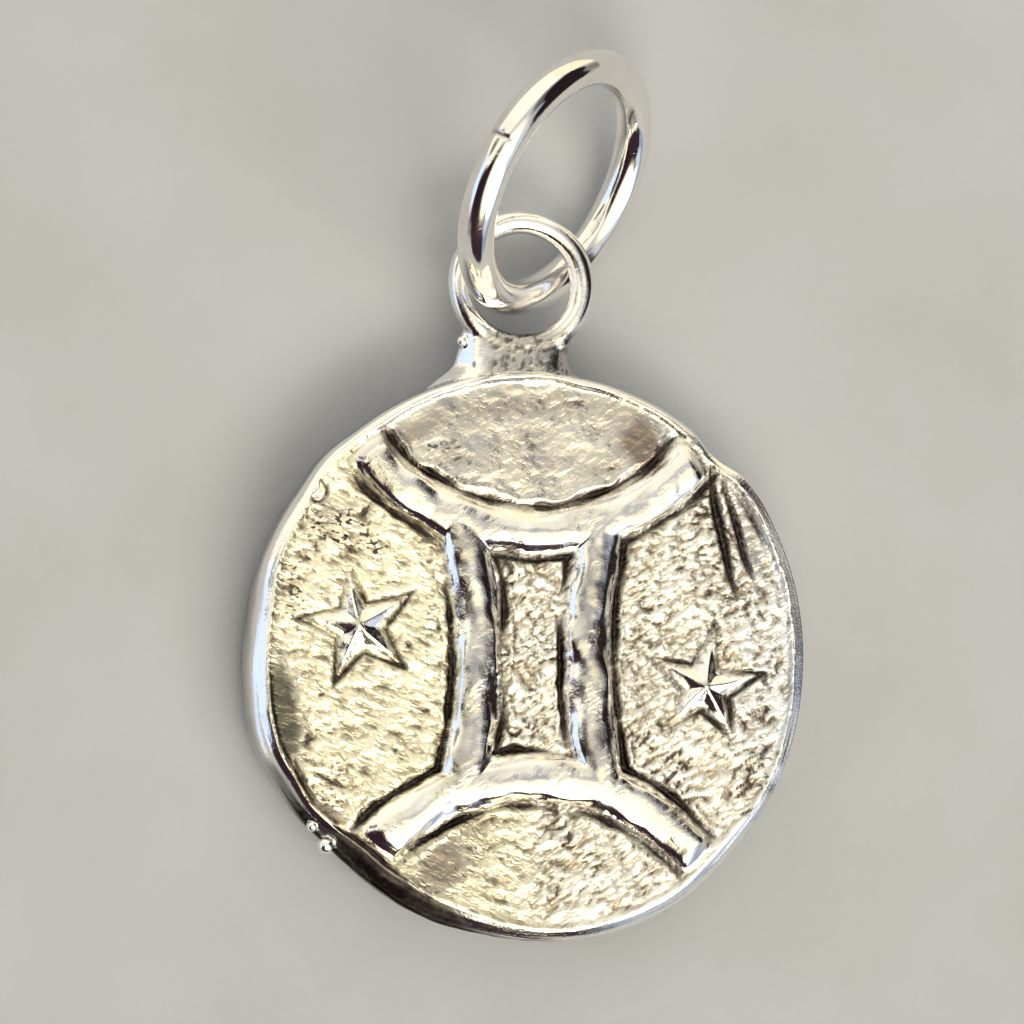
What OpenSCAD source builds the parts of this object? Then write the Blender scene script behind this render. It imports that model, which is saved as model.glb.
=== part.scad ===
// Zodiac charm: a cast silver disc with the sign of the Twins in relief, a bail ring soldered to its top edge
// and a loose jump ring through the bail. The charm lies on its back. Origin: centre of the disc's flat back,
// +Z out of its face, +Y towards the bail. Millimetres.

/* [Cast disc] */
// Mean radius of the disc
disc_r = 7.7; // [7:0.1:8]
// Height of the rim's crest over the flat back
disc_t = 2.2; // [2:0.05:2.4]
// Depth of the flat field under the rim's crest
field_drop = 0.15; // [0.1:0.01:0.25]

/* [Raised relief] */
// Height of the bars, pillars and stars over the field
relief_h = 0.34; // [0.2:0.02:0.4]
// Width of a bar or pillar at its foot
band_w = 1.3; // [1.1:0.05:1.5]
// Width of a bar or pillar along its top
band_top_w = 0.66; // [0.4:0.02:0.8]
// Distance from the disc's centre to the middle of each bar
bar_y = 3.3; // [2.8:0.1:3.6]
// Radius to which the two bars curve away from the centre
bar_bend_r = 5.9; // [5:0.1:8]
// Distance from the disc's centre line to the waist of each pillar
pillar_x = 1.5; // [1.2:0.1:1.8]
// Radius to which the two pillars bow in at the waist
pillar_bend_r = 14; // [10:1:20]
// Point-to-centre radius of the small stars
star_r = 1.45; // [1.1:0.05:1.6]

/* [Solder neck and bail] */
// Centre-line radius of the bail ring
bail_r = 1.7; // [1.5:0.05:1.9]
// Thickness of the bail ring's wire
bail_wire = 0.66; // [0.5:0.02:0.8]
// Distance from the disc's centre to the bail's centre
bail_y = 10.1; // [9.9:0.1:10.4]
// How far the bail's centre sits left of the disc's centre line
bail_left = 0.24; // [0:0.02:0.5]
// Height of the bail's centre line over the flat back
bail_z = 1.7; // [1.5:0.05:1.8]

/* [Jump ring] */
// Centre-line radius of the jump ring
jump_r = 3.35; // [3.3:0.05:3.5]
// Thickness of the jump ring's wire
jump_wire = 1; // [0.8:0.02:1]
// Lean of the jump ring's axis from upright
jump_lean = 54; // [50:1:58]
// Direction in which the jump ring's axis leans, clockwise from +X
jump_turn = 35.5; // [30:0.5:40]
// Place of the jump ring's centre right of the disc's centre line
jump_x = 0.4; // [0.3:0.05:0.5]
// Place of the jump ring's centre above the disc's centre
jump_y = 12.65; // [12.6:0.05:12.8]
// Width of the saw cut where the jump ring was closed
saw_cut = 0.05; // [0.03:0.01:0.2]
// Place of the saw cut round the jump ring
saw_cut_turn = 190; // [120:5:240]

/* [Hidden] */

field_z = disc_t - field_drop;
bail_wire_r = bail_wire / 2;
jump_wire_r = jump_wire / 2;
// The jump ring's lowest point touches the surface that the charm lies on
jump_z = jump_wire_r + jump_r * sin(jump_lean);

// Sides of the disc's outline, and smoothness of every true round
edge_steps = 90;
$fn = 96;

// Slow waves of the cast outline
WAVE_COUNT = 0;
WAVE_HEIGHT = 1;
WAVE_CREST = 2;
waves = [
    // to the round, height, angle of a crest
    [2, 0.07, 135],
    [3, 0.085, 60],
    [4, 0.04, 22],
];

// Swells and knocks of the cast outline
SWELL_ANGLE = 0;
SWELL_HEIGHT = 1;
SWELL_HALF = 2;
swells = [
    // angle, height (a knock is negative), half width in degrees
    [ 36,  0.06, 12],
    [ 47, -0.17,  8],
    [137,  0.08, 10],
    [174, -0.08, 14],
    [198,  0.12, 12],
    [225, -0.09, 14],
    [249,  0.07, 14],
    [319, -0.06, 14],
];

// Section of the rim from the flat back, round the side and over the crest down to the field
RIM_IN = 0;
RIM_Z = 1;
rim = [
    // distance in from the outline, height
    [0.60, 0],
    [0.24, 0.10],
    [0.06, 0.42],
    [0.00, 0.95],
    [0.05, disc_t - 0.75],
    [0.17, disc_t - 0.38],
    [0.34, disc_t - 0.13],
    [0.50, disc_t],
    [0.60, disc_t - 0.02],
    [0.72, field_z + 0.03],
    [0.86, field_z],
];
// The relief's ends are worn down to the rim's crest between these distances in from the outline
relief_in = 0.54;
relief_full_in = 1.2;

// Sections of the solder neck, from inside the disc up to the bail
NECK_Y = 0;
NECK_HALF_W = 1;
NECK_HALF_T = 2;
NECK_Z = 3;
NECK_X = 4;
neck = [
    // y, half width, half thickness, height of its middle, x of its middle
    [6.60, 2.70, 0.56, 1.05, -0.36],
    [7.10, 2.55, 0.66, 1.16, -0.36],
    [7.45, 2.15, 0.68, 1.26, -0.40],
    [7.80, 1.70, 0.62, 1.38, -0.42],
    [8.20, 1.56, 0.52, 1.48, -0.42],
    [8.65, 1.52, 0.44, 1.58, -0.38],
    [9.10, 1.44, 0.34, 1.68, -0.26],
];
neck_steps = 28;

// Where the two stars stand, and how far each is turned
STAR_X = 0;
STAR_Y = 1;
STAR_TURN = 2;
stars = [
    [-4.75,  0.75, 12],
    [ 4.80, -0.80, -8],
];
star_points = 5;
star_waist = 0.42;
// How deep a star's foot reaches into the field
star_foot = 0.2;

// Smooth hill of height 1 at 0 that ends at 1 on either side
function hill(x) = abs(x) < 1 ? pow(cos(90 * x), 2) : 0;

// Angle from a to b the short way round
function turn_to(a, b) = let (d = b - a) d - 360 * round(d / 360);

// Radius of the disc's outline at angle a
function edge_r(a) =
    disc_r
    + sum([for (w = waves) w[WAVE_HEIGHT] * cos(w[WAVE_COUNT] * (a - w[WAVE_CREST]))])
    + sum([for (s = swells) s[SWELL_HEIGHT] * hill(turn_to(s[SWELL_ANGLE], a) / s[SWELL_HALF])]);

function sum(list, i = 0) = i < len(list) ? list[i] + sum(list, i + 1) : 0;

// The outline moved inwards, as a flat list of points
function outline(inwards) = [
    for (i = [0:edge_steps - 1])
        let (a = 360 * i / edge_steps)
        (edge_r(a) - inwards) * [cos(a), sin(a)]
];

// A closed skin over rings of points that all have the same count, with a flat face at each end
module skin(rings) {
    n = len(rings[0]);
    last = len(rings) - 1;
    points = [for (ring = rings) each ring];
    sides = [
        for (k = [0:last - 1], i = [0:n - 1])
            let (a = k * n + i, b = k * n + (i + 1) % n)
            each [[a, b + n, b], [a, a + n, b + n]]
    ];
    first_face = [for (i = [0:n - 1]) i];
    last_face = [for (i = [n - 1:-1:0]) last * n + i];
    polyhedron(points, [first_face, each sides, last_face], convexity = 6);
}

// The disc without its relief: flat back, rounded side, raised rim and sunk field
module blank() {
    skin([for (row = rim) [for (p = outline(row[RIM_IN])) [p.x, p.y, row[RIM_Z]]]]);
}

// Section of a bar or pillar, from inside the field up to its flat top
module band_section() {
    polygon([
        [-band_w / 2, field_z - 0.3],
        [band_w / 2, field_z - 0.3],
        [band_w / 2, field_z],
        [band_top_w / 2, field_z + relief_h],
        [-band_top_w / 2, field_z + relief_h],
        [-band_w / 2, field_z],
    ]);
}

// A band bent to radius bend_r whose middle crosses the Y axis at y and which curves away from the centre
module bent_band(y, bend_r, half_angle) {
    translate([0, y + bend_r, 0])
        rotate([0, 0, -90 - half_angle])
            rotate_extrude(angle = 2 * half_angle)
                translate([bend_r, 0])
                    band_section();
}

// Upper and lower bar, worn down at the ends to the height of the rim's crest
module bars() {
    top_z = field_z + relief_h + 0.01;
    intersection() {
        union()
            for (turn = [0, 180])
                rotate([0, 0, turn])
                    bent_band(bar_y, bar_bend_r, 75);
        skin([
            for (level = [[relief_in, 1], [relief_in, disc_t - 0.01], [relief_full_in, top_z]])
                [for (p = outline(level[0])) [p.x, p.y, level[1]]]
        ]);
    }
}

// The two pillars between the bars
module pillars() {
    reach = asin((bar_y + 0.35) / (pillar_bend_r + 0.01));
    for (turn = [90, -90])
        rotate([0, 0, turn])
            bent_band(pillar_x, pillar_bend_r, reach);
}

// One faceted star: a high middle and ridges that run out to its points
module star() {
    count = 2 * star_points;
    rim_ring = [
        for (i = [0:count - 1])
            let (r = i % 2 == 0 ? star_r : star_r * star_waist, a = 360 * i / count + 90)
            [r * cos(a), r * sin(a)]
    ];
    points = [
        for (p = rim_ring) [p.x, p.y, field_z - star_foot],
        for (p = rim_ring) [p.x, p.y, field_z + 0.04],
        [0, 0, field_z + relief_h],
    ];
    sides = [
        for (i = [0:count - 1])
            let (j = (i + 1) % count)
            each [[i, j + count, j], [i, i + count, j + count], [i + count, 2 * count, j + count]]
    ];
    polyhedron(points, [[for (i = [0:count - 1]) i], each sides], convexity = 4);
}

// Solder between the disc's top edge and the bail, left open inside the bail
module solder_neck() {
    difference() {
        skin([
            for (row = neck) [
                for (i = [0:neck_steps - 1])
                    let (a = 360 * i / neck_steps)
                    [
                        row[NECK_X] + row[NECK_HALF_W] * cos(a),
                        row[NECK_Y],
                        row[NECK_Z] - row[NECK_HALF_T] * sin(a),
                    ]
            ]
        ]);
        translate([-bail_left, bail_y, bail_z - 2])
            cylinder(r = bail_r, h = 4);
    }
}

// Closed ring of round wire
module bail_ring() {
    translate([-bail_left, bail_y, bail_z])
        rotate_extrude()
            translate([bail_r, 0])
                circle(r = bail_wire_r, $fn = 48);
}

module cast_disc() {
    color("silver")
        union() {
            blank();
            bars();
            pillars();
            for (s = stars)
                translate([s[STAR_X], s[STAR_Y], 0])
                    rotate([0, 0, s[STAR_TURN]])
                        star();
            solder_neck();
            bail_ring();
        }
}

module jump_ring() {
    cut_angle = 2 * asin(saw_cut / 2 / jump_r);
    color("gainsboro")
        translate([jump_x, jump_y, jump_z])
            rotate([0, jump_lean, -jump_turn])
                rotate([0, 0, saw_cut_turn])
                    rotate_extrude(angle = 360 - cut_angle)
                        translate([jump_r, 0])
                            circle(r = jump_wire_r, $fn = 48);
}

cast_disc();
jump_ring();
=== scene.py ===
"""The looks of a cast silver zodiac charm that lies on its back on a pale floor.

Lengths are in millimetres and angles in degrees until a mesh is made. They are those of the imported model: the
origin is the centre of the disc's flat back, +Z points out of its face and +Y towards the bail.
"""

import logging
import math
from collections.abc import Sequence
from dataclasses import dataclass, field
from enum import Enum, IntEnum

import bpy
import numpy as np
from mathutils import Matrix, Vector


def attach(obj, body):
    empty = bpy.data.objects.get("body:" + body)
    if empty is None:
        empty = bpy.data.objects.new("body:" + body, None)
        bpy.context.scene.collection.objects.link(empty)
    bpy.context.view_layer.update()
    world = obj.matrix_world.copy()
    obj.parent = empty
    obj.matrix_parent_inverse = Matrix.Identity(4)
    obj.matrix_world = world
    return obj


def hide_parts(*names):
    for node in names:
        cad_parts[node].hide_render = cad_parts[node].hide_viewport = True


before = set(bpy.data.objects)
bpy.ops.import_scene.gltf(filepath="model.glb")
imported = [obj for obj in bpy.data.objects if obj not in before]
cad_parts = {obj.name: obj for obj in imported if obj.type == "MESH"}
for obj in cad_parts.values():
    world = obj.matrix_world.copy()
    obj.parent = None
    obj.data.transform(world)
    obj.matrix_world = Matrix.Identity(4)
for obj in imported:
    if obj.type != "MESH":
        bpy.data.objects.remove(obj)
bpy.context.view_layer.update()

LOG = logging.getLogger("charm")
MM = 0.001
SENSOR_MM = 36.0

Array = np.ndarray
Colour = tuple[float, float, float]
Socket = bpy.types.NodeSocket


# Curves and random fields

def smooth(x: Array) -> Array:
    """Soft step.

    Args:
        x: any values; 0 and 1 are the step's ends.

    Returns:
        0 below 0, 1 above 1 and an even S between them.
    """
    t = np.clip(x, 0.0, 1.0)
    return t * t * (3.0 - 2.0 * t)


def hill(x: Array) -> Array:
    """Smooth hill.

    Args:
        x: distance from the hill's middle, in half widths.

    Returns:
        1 in the middle and 0 from one half width outwards.
    """
    return np.where(np.abs(x) < 1.0, np.cos(0.5 * math.pi * np.clip(x, -1.0, 1.0)) ** 2, 0.0)


def between(start: float, end: Array) -> Array:
    """Angle from one direction to others the short way round.

    Args:
        start: the first direction, in degrees.
        end: the other directions, in degrees.

    Returns:
        Angles of -180 to 180.
    """
    gap = end - start
    return gap - 360.0 * np.round(gap / 360.0)


def soft_max(a: Array, b: Array, blend: float) -> Array:
    """The larger of two heights with the crease between them rounded.

    Args:
        a: first height.
        b: second height.
        blend: width of the rounding, in the heights' unit.

    Returns:
        The rounded larger height, which equals the true one where the two are equal.
    """
    return 0.5 * (a + b + np.sqrt((a - b) ** 2 + blend**2) - blend)


def curve_through(x: Array, knots: Sequence[tuple[float, float]]) -> Array:
    """Smooth curve through a few points.

    Args:
        x: where the curve is read.
        knots: (x, y) of each point, in the order of x.

    Returns:
        The curve's height at each x, level beyond the ends.
    """
    kx = np.array([k[0] for k in knots])
    ky = np.array([k[1] for k in knots])
    slope = np.gradient(ky, kx)
    x = np.clip(x, kx[0], kx[-1])
    i = np.clip(np.searchsorted(kx, x, side="right") - 1, 0, len(kx) - 2)
    span = kx[i + 1] - kx[i]
    t = (x - kx[i]) / span
    rise = t * t * (3.0 - 2.0 * t)
    start = t * (1.0 - t) ** 2 * span * slope[i]
    end = t * t * (1.0 - t) * span * slope[i + 1]
    return ky[i] + (ky[i + 1] - ky[i]) * rise + start - end


class Seed(IntEnum):
    """What each random field is for. Grain adds its own from 100 on."""

    DRIFT_X = 1
    DRIFT_Y = 2
    RELIEF_HEIGHT = 3
    GROOVE_DEPTH = 4
    FIELD_WAVES = 5
    FIELD_RIPPLE = 6
    CREST_WOBBLE = 7
    HAMMERED = 8
    BACK = 9
    SIDE_PITS = 10
    SOLDER_LUMPS = 11
    SIDE_SHADE_NOISE = 12
    SHOULDER_SWELL = 13
    SHOULDER_LINES = 14
    SOLDER_PITS = 15
    CREST_SHADE = 16
    WORN_TOPS = 17
    PATCH_EDGES = 18
    TEXTURE_BORDER = 19
    CAP_POLISH = 20
    BAND_TILT = 21
    BAND_CHIPS = 22
    RIM_WIDTH = 31
    RIM_DROP = 32
    SOLDER_EDGE = 33
    FIELD_SHADE = 34
    BAND_TOP_SHADE = 35
    SIDE_SHADE_PATCHES = 36


@dataclass(frozen=True)
class Noise:
    """A smooth random field over the plane, the same in each run."""

    seed: int
    cells: int = 128
    # Gap between the seeds of one layer and the next
    gap: int = 17

    def at(self, u: Array, v: Array) -> Array:
        """Reads the field.

        Args:
            u: first coordinate, in cells.
            v: second coordinate, in cells.

        Returns:
            Values of about -1 to 1, with hills and hollows one cell across.
        """
        turn = np.random.default_rng(self.seed).random((self.cells, self.cells)) * math.tau
        i, j = np.floor(u).astype(int), np.floor(v).astype(int)
        fu, fv = u - i, v - j
        su, sv = fu**3 * (fu * (6 * fu - 15) + 10), fv**3 * (fv * (6 * fv - 15) + 10)

        def corner(di: int, dj: int) -> Array:
            """The slope that one corner of the cell gives."""
            a = turn[(i + di) % self.cells, (j + dj) % self.cells]
            return np.cos(a) * (fu - di) + np.sin(a) * (fv - dj)

        low = corner(0, 0) * (1 - su) + corner(1, 0) * su
        high = corner(0, 1) * (1 - su) + corner(1, 1) * su
        return 1.5 * (low * (1 - sv) + high * sv)

    def layered(self, u: Array, v: Array, layers: int = 3) -> Array:
        """Adds finer fields to the first, each half as high and half as wide as the last.

        Args:
            u: first coordinate, in cells of the widest field.
            v: second coordinate, in cells of the widest field.
            layers: how many fields are added up.

        Returns:
            Values of about -1 to 1.
        """
        return sum(Noise(self.seed + self.gap * k).at(u * 2**k, v * 2**k) / 2**k for k in range(layers))


@dataclass(frozen=True)
class GrainSize:
    """Direction, size and depth of the lumps of one cast texture."""

    turn: float
    # How far the puffy lumps are turned from the torn ones, and their share
    cross: float
    puffy: float
    length: float
    width: float
    # How much each finer layer keeps of the last one's height
    keep: float
    height: float
    # Levels under which the hollows get painted shade, first tan and then dark
    hollow: float
    pit: float


class Grain(Enum):
    """The cast textures of the sunk fields."""

    WORMS = GrainSize(-20, 36, 0.38, 0.66, 0.38, 0.62, 0.048, 0.02, -0.46)
    STROKES = GrainSize(34, 0, 1.00, 0.72, 0.25, 0.50, 0.050, 0.24, -0.26)
    BLOBS = GrainSize(28, 0, 1.00, 0.38, 0.30, 0.48, 0.052, 0.24, -0.26)
    STREAKS = GrainSize(6, 10, 0.30, 1.20, 0.40, 0.62, 0.020, 0.30, -0.60)

    def marks(self, x: Array, y: Array) -> tuple[Array, Array, Array]:
        """Height of the lumps and the painted shade of the hollows between them.

        Args:
            x: place across the disc.
            y: place along the disc.

        Returns:
            Height in millimetres, about 0 on average, and how tanned and how dark a place is with painted
            shade, each 0 to 1.
        """
        size = self.value
        seed = 100 + 30 * list(Grain).index(self)
        wx = x + 0.10 * Noise(seed + 1).layered(x / 0.7, y / 0.7, 2)
        wy = y + 0.10 * Noise(seed + 2).layered(x / 0.7, y / 0.7, 2)
        torn = self._layers(wx, wy, seed + 5, size.turn, 1.0, False)
        puffed = self._layers(wx, wy, seed + 10, size.turn + size.cross, 1.3, True)
        lumps = (1.0 - size.puffy) * torn + size.puffy * puffed
        busy = smooth(0.42 + 1.3 * Noise(seed + 3).layered(x / 1.6, y / 1.6, 2))
        clusters = smooth((Noise(seed + 4).at(x / 0.9, y / 0.9) + 0.2) / 0.3)
        # Painted shade: the hollows between the lumps are tanned, and the deepest in clusters are dark
        tanned = 1.1 * smooth((size.hollow - lumps) / 0.8) * (0.55 + 0.45 * busy)
        dark = smooth((size.pit - lumps + 0.30 * (busy - 0.5)) / 0.22) * clusters
        height = size.height * (0.78 + 0.44 * busy) * lumps
        return height, np.clip(tanned, 0.0, 1.0), 0.9 * dark

    def _layers(self, x: Array, y: Array, seed: int, turn: float, wide: float, puffy: bool) -> Array:
        """Adds up layers of lumps.

        Args:
            x: place across the disc.
            y: place along the disc.
            seed: the first layer's seed.
            turn: direction of the lumps.
            wide: how many times wider than the texture's own size they are.
            puffy: whether they are round with sharp creases between them.

        Returns:
            Values of about -1 to 1.
        """
        size = self.value
        a = math.radians(turn)
        u = (x * math.cos(a) + y * math.sin(a)) / (wide * size.length)
        v = (y * math.cos(a) - x * math.sin(a)) / (wide * size.width)
        total = np.zeros_like(x)
        for k in range(3):
            layer = Noise(seed + k).at(u * 1.95**k + 3.1 * k, v * 1.95**k)
            if puffy:
                layer = 2.0 * np.abs(layer) - 0.5
            total = total + layer * size.keep**k
        return total


# Forms of the cast disc

@dataclass(frozen=True)
class Outline:
    """The disc's cast outline: a circle with slow waves, swells and knocks."""

    radius: float = 7.7
    # To the round, height, angle of a crest
    waves: tuple[tuple[int, float, float], ...] = ((2, 0.07, 135), (3, 0.085, 60), (4, 0.04, 22))
    # Angle, height (a knock is negative), half width
    swells: tuple[tuple[float, float, float], ...] = (
        (36, 0.06, 12),
        (47, -0.17, 8),
        (137, 0.08, 10),
        (174, -0.08, 14),
        (198, 0.12, 12),
        (225, -0.09, 14),
        (249, 0.07, 14),
        (319, -0.06, 14),
    )

    def at(self, angle: Array) -> Array:
        """Radius of the outline.

        Args:
            angle: angle from +X, in degrees.

        Returns:
            Distance from the disc's centre to the outline.
        """
        r = np.full_like(angle, self.radius)
        for count, height, crest in self.waves:
            r = r + height * np.cos(np.radians(count * (angle - crest)))
        for middle, height, half in self.swells:
            r = r + height * hill(between(middle, angle) / half)
        return r


@dataclass(frozen=True)
class Relief:
    """The sign of the Twins and two stars, raised over the disc's field."""

    # Height of the bands over the field, and their width at the foot and along the top
    height: float = 0.34
    foot_w: float = 1.30
    top_w: float = 0.66
    # Where the bars and pillars stand, and how they bend
    bar_y: float = 3.3
    bar_bend_r: float = 5.9
    pillar_x: float = 1.5
    pillar_bend_r: float = 14.0
    # Grooves beside the bands and the burr that the tool left
    groove_w: float = 0.26
    groove_depth: float = 0.20
    burr: float = 0.035
    # Point-to-centre radius of a star, and its waist as a share of that
    star_r: float = 1.45
    star_waist: float = 0.42
    star_points: int = 5
    # x, y, turn
    stars: tuple[tuple[float, float, float], ...] = ((-4.75, 0.75, 12), (4.80, -0.80, -8))

    def past_bar(self, x: Array, y: Array, side: int) -> Array:
        """Distance past a bar's middle line.

        Args:
            x: place across the disc.
            y: place along the disc.
            side: 1 for the upper bar and -1 for the lower one.

        Returns:
            Distance, positive towards the rim and negative towards the disc's centre.
        """
        middle = self.bar_y + self.bar_bend_r
        return self.bar_bend_r - np.hypot(x, side * y - middle)

    def beyond_bar(self, x: Array, y: Array, side: int) -> Array:
        """How much a place belongs to the field between a bar and the rim.

        Args:
            x: place across the disc.
            y: place along the disc.
            side: 1 for the upper bar and -1 for the lower one.

        Returns:
            0 on the centre's side of the bar's middle line and 1 well past it.
        """
        return smooth(self.past_bar(x, y, side) / 0.4)

    def past_pillar(self, x: Array, y: Array, side: int) -> Array:
        """Distance past a pillar's middle line.

        Args:
            x: place across the disc.
            y: place along the disc.
            side: 1 for the right pillar and -1 for the left one.

        Returns:
            Distance, positive away from the disc's centre line.
        """
        middle = self.pillar_x + self.pillar_bend_r
        return self.pillar_bend_r - np.hypot(side * x - middle, y)

    def band(self, offset: Array, tilt: Array, chips: Array) -> Array:
        """Height of a chiselled band.

        Args:
            offset: distance from the band's middle line.
            tilt: how far the band's top leans and moves to one side, from -1 to 1.
            chips: unevenness of the chiselled edges, from -1 to 1.

        Returns:
            Height over the field: a nearly flat top between two bevels.
        """
        top, foot = self.top_w / 2, self.foot_w / 2
        edge = top * (1.0 + 0.16 * chips) + 0.16 * tilt * np.sign(offset)
        away = np.abs(offset) + 0.015 * chips
        bevel = (foot - away) / (foot - edge)
        crown = 1.0 - 0.17 * (offset / top) ** 2 + 0.16 * tilt * offset / top
        return self.height * np.clip(-soft_max(-bevel, -crown, 0.03), 0.0, None)

    def groove(self, offset: Array, chips: Array) -> tuple[Array, Array]:
        """The grooves along both feet of a band, and the burr that the tool pushed up beside each.

        Args:
            offset: distance from the band's middle line.
            chips: unevenness of the tool's path, from -1 to 1.

        Returns:
            Depth under the field and height over it.
        """
        width = self.groove_w * (1.0 + 0.45 * chips)
        away = np.abs(offset) + 0.03 * chips
        middle = self.foot_w / 2 + 0.36 * width
        cut = self.groove_depth * np.clip(1.0 - np.abs(away - middle) / (width / 2), 0.0, None)
        return cut, self.burr * hill((away - middle - 0.75 * width) / 0.11)

    def star_reach(self, x: Array, y: Array, star: tuple[float, float, float]) -> Array:
        """How far out on a star's flanks a place lies.

        Args:
            x: place across the disc.
            y: place along the disc.
            star: the star's x, y and turn.

        Returns:
            0 at the star's middle and 1 on its outline.
        """
        sx, sy, turn = star
        half = 180.0 / self.star_points
        angle = np.degrees(np.arctan2(y - sy, x - sx)) - 90.0 - turn
        folded = np.radians(angle - 2 * half * np.round(angle / (2 * half)))
        r = np.hypot(x - sx, y - sy)
        waist = self.star_r * self.star_waist
        a = math.radians(half)
        per_y = (1.0 - waist * math.cos(a) / self.star_r) / (waist * math.sin(a))
        return r * np.cos(folded) / self.star_r + r * np.abs(np.sin(folded)) * per_y

    def lift_and_cut(self, x: Array, y: Array) -> tuple[Array, Array, Array]:
        """Height of the raised metal and depth of the grooves beside it.

        Args:
            x: place across the disc.
            y: place along the disc.

        Returns:
            Height over the field, depth under it and height of the burrs beside the grooves.
        """
        lift, cut, burr = np.zeros_like(x), np.zeros_like(x), np.zeros_like(x)
        tilt = np.clip(1.5 * Noise(Seed.BAND_TILT).layered(x / 1.5, y / 1.5, 2), -1.0, 1.0)
        chips = np.clip(1.6 * Noise(Seed.BAND_CHIPS).layered(x / 0.80, y / 0.80, 2), -1.0, 1.0)
        past = [self.past_bar(x, y, side) for side in (1, -1)]
        inside = -np.maximum(*past)
        for offset in past:
            lift = soft_max(lift, self.band(offset, tilt, chips), 0.01)
            groove, lip = self.groove(offset, chips)
            cut, burr = np.maximum(cut, groove), np.maximum(burr, lip)
        for side in (1, -1):
            offset = self.past_pillar(x, y, side)
            lift = soft_max(lift, self.band(offset, tilt, chips) * smooth(inside / 0.15), 0.01)
            groove, lip = self.groove(offset, chips)
            between_bars = smooth((inside - self.foot_w / 2) / 0.2)
            cut, burr = np.maximum(cut, groove * between_bars), np.maximum(burr, lip * between_bars)
        for star in self.stars:
            reach = self.star_reach(x, y, star)
            lift = np.maximum(lift, self.height * np.clip(1.0 - reach, 0.0, None))
            notch = np.clip(1.0 - np.abs(reach - 1.16) / 0.20, 0.0, None)
            cut = np.maximum(cut, 0.7 * self.groove_depth * notch)
        bare = 1.0 - smooth(lift / 0.06)
        return lift, cut * bare, burr * bare * (1.0 - smooth(cut / 0.04))


@dataclass(frozen=True)
class Cut:
    """A fold or a file cut in the cast face."""

    start: tuple[float, float]
    end: tuple[float, float]
    width: float
    depth: float
    # How far its middle bends to the left, seen from start to end
    bow: float = 0.0

    def depth_at(self, x: Array, y: Array) -> Array:
        """Depth of the cut.

        Args:
            x: place across the disc.
            y: place along the disc.

        Returns:
            Depth in millimetres, which runs out towards both ends.
        """
        (ax, ay), (bx, by) = self.start, self.end
        length = math.hypot(bx - ax, by - ay)
        cx, cy = (bx - ax) / length, (by - ay) / length
        along = ((x - ax) * cx + (y - ay) * cy) / length
        away = (y - ay) * cx - (x - ax) * cy - 4.0 * self.bow * along * (1.0 - along)
        taper = np.sqrt(np.clip(4.0 * along * (1.0 - along), 0.0, None))
        half = self.width / 2 * np.maximum(taper, 0.01)
        return self.depth * taper * np.clip(1.0 - np.abs(away) / half, 0.0, None)


# Meshes

@dataclass
class Skin:
    """A closed mesh that grows ring by ring."""

    points: list[Array] = field(default_factory=list)
    faces: list[tuple[int, ...]] = field(default_factory=list)
    ring: list[int] = field(default_factory=list)

    @property
    def size(self) -> int:
        """How many points the skin has so far."""
        return sum(len(p) for p in self.points)

    def add_ring(self, points: Array) -> None:
        """Adds a ring and bridges it to the last one, which has the same count, half of it or twice it.

        Args:
            points: the ring's points in order, one row each.
        """
        new = list(range(self.size, self.size + len(points)))
        self.points.append(points)
        if self.ring:
            self._bridge(self.ring, new)
        self.ring = new

    def _bridge(self, old: list[int], new: list[int]) -> None:
        """Joins two rings with faces.

        Args:
            old: point numbers of the first ring.
            new: point numbers of the second ring.
        """
        n, m = len(old), len(new)
        if n == m:
            self.faces += [(old[i], old[(i + 1) % n], new[(i + 1) % n], new[i]) for i in range(n)]
            return
        if m > n:
            half = len(self.faces)
            self._bridge(new, old)
            self.faces[half:] = [face[::-1] for face in self.faces[half:]]
            return
        for j in range(m):
            a, b, c = old[2 * j], old[2 * j + 1], old[(2 * j + 2) % n]
            p, q = new[j], new[(j + 1) % m]
            self.faces += [(a, b, p), (b, q, p), (b, c, q)]

    def close(self, point: Array | None = None) -> None:
        """Closes the open end of the last ring.

        Args:
            point: the middle that the ring is closed to, or nothing for the ring's own middle.
        """
        last = self.points[-1]
        middle = np.mean(last, axis=0) if point is None else point
        tip, n = self.size, len(self.ring)
        self.points.append(np.array([middle]))
        self.faces += [(self.ring[i], self.ring[(i + 1) % n], tip) for i in range(n)]

    def close_start(self, first: int, count: int, point: Sequence[float]) -> None:
        """Closes the open start of a run of rings.

        Args:
            first: number of the first ring's first point.
            count: how many points that ring has.
            point: the middle that the ring is closed to.
        """
        tip = self.size
        self.points.append(np.array([point]))
        self.faces += [(first + (i + 1) % count, first + i, tip) for i in range(count)]

    def mesh(self, name: str) -> bpy.types.Mesh:
        """Makes the mesh in metres.

        Args:
            name: the mesh's name.

        Returns:
            A smooth-shaded mesh whose faces look outwards.
        """
        mesh = bpy.data.meshes.new(name)
        mesh.from_pydata((np.concatenate(self.points) * MM).tolist(), [], self.faces)
        mesh.update()
        mesh.shade_smooth()
        return mesh


def across(angle: Array, radius: Array) -> tuple[Array, Array]:
    """Places round the disc's centre.

    Args:
        angle: directions from +X, in degrees.
        radius: distance from the centre in each.

    Returns:
        x and y of each place.
    """
    a = np.radians(angle)
    return radius * np.cos(a), radius * np.sin(a)


def place(name: str, mesh: bpy.types.Mesh) -> bpy.types.Object:
    """Puts a mesh into the scene.

    Args:
        name: the object's name.
        mesh: its mesh, in the shared frame.

    Returns:
        The new object.
    """
    item = bpy.data.objects.new(name, mesh)
    bpy.context.scene.collection.objects.link(item)
    return item


def points_of(mesh: bpy.types.Mesh) -> Array:
    """Reads a mesh's points.

    Args:
        mesh: the mesh.

    Returns:
        Its points in millimetres, one row each.
    """
    flat = np.empty(3 * len(mesh.vertices))
    mesh.vertices.foreach_get("co", flat)
    return flat.reshape(-1, 3) / MM


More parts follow.
